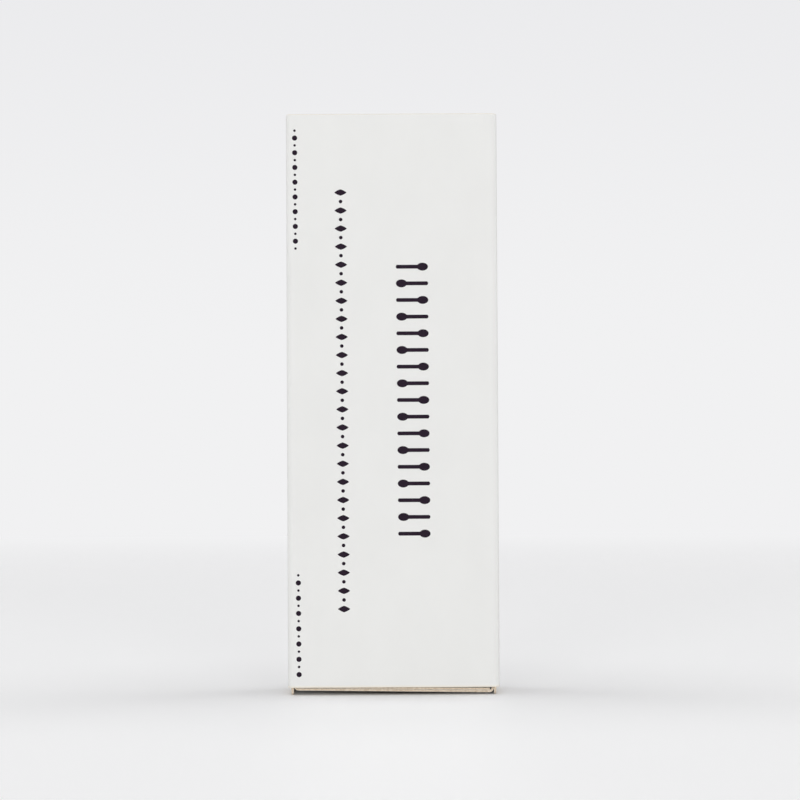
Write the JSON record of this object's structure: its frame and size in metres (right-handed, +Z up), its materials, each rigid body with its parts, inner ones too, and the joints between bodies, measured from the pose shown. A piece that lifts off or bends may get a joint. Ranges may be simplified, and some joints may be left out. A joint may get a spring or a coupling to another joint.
{
  "type": "matchbox",
  "caption": "Upright slide matchbox for long matches: folded white card sleeve with side striking strips, folded card tray sliding through it, wooden matches inside.",
  "frame": {"origin": "middle of the footprint, on the surface that the tray's raw side wall ends stand on", "axes": "+Z up along the box's length, -Y towards the printed front panel, +X to the right seen from the front"},
  "size_m": [0.0404, 0.018, 0.11],
  "materials": {
    "white_card": "matte",
    "cream_card": "matte",
    "striking_coat": "matte",
    "match_wood": "matte",
    "match_head": "matte",
    "printing_ink": "matte"
  },
  "bodies": {
    "sleeve": {"sleeve": "white_card", "striker_left": "striking_coat", "striker_right": "striking_coat"},
    "tray": {"tray": "cream_card", "match_01": "match_wood", "match_02": "match_wood", "match_03": "match_wood", "match_04": "match_wood", "match_05": "match_wood", "match_06": "match_wood", "match_07": "match_wood", "match_08": "match_wood", "match_09": "match_wood", "match_10": "match_wood", "match_11": "match_wood", "match_12": "match_wood", "match_13": "match_wood", "match_14": "match_wood", "match_15": "match_wood", "match_16": "match_wood", "match_17": "match_wood", "match_18": "match_wood", "match_19": "match_wood", "match_20": "match_wood", "match_21": "match_wood", "match_22": "match_wood", "match_23": "match_wood", "match_24": "match_wood", "match_25": "match_wood", "match_26": "match_wood", "match_27": "match_wood", "match_28": "match_wood", "match_29": "match_wood", "match_30": "match_wood"}
  },
  "joints": [
    {"name": "tray_slide", "type": "slide", "parent": "sleeve", "child": "tray", "axis": [0, 0, 1], "range_m": [-0.107, 0.11]}
  ]
}
